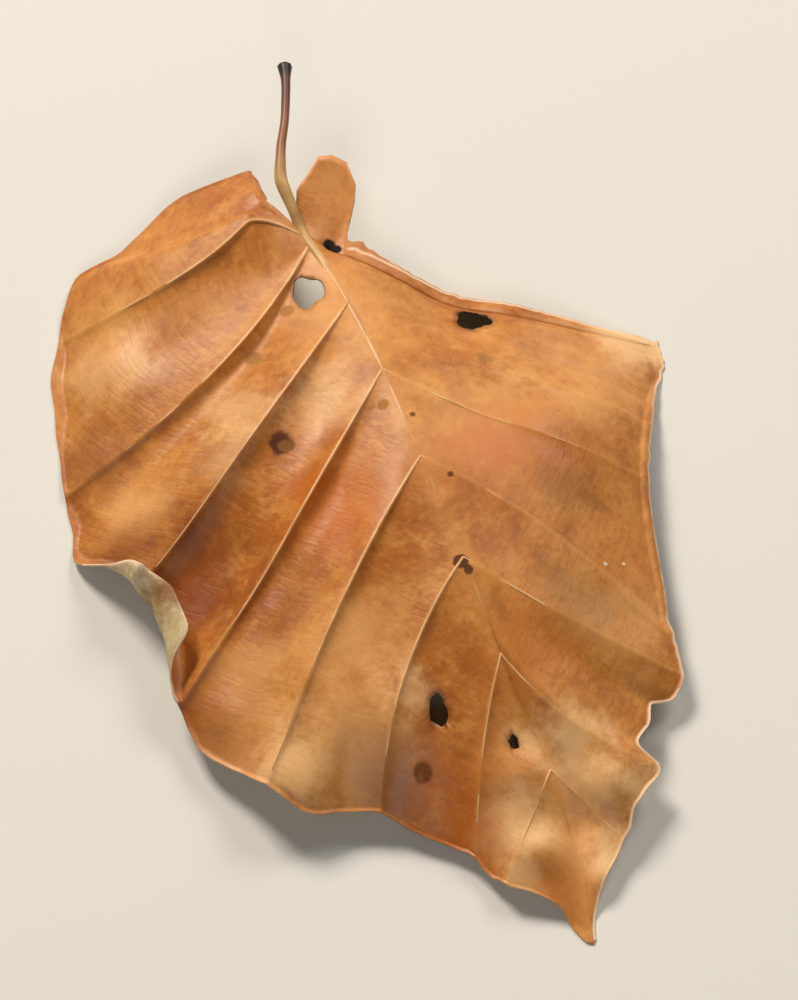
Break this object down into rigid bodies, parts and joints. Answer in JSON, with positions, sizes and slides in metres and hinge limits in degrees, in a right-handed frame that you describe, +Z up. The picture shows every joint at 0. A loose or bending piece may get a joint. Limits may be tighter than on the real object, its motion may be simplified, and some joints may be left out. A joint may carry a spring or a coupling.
{
  "type": "dried beech leaf",
  "caption": "Dried beech leaf lying domed on a surface: oval blade with raised side veins, a waved and partly curled margin, insect holes and a short stalk.",
  "frame": {"origin": "centre of the leaf's bounding box, seen from above, on the surface that it lies on", "axes": "+Z up from the surface, +Y along the midrib from the tip towards the stalk, +X to the right with the stalk pointing away"},
  "size_m": [0.0612, 0.097, 0.0129],
  "materials": {
    "dry_leaf": "satin"
  },
  "bodies": {
    "root": {"leaf": "dry_leaf"}
  },
  "joints": []
}
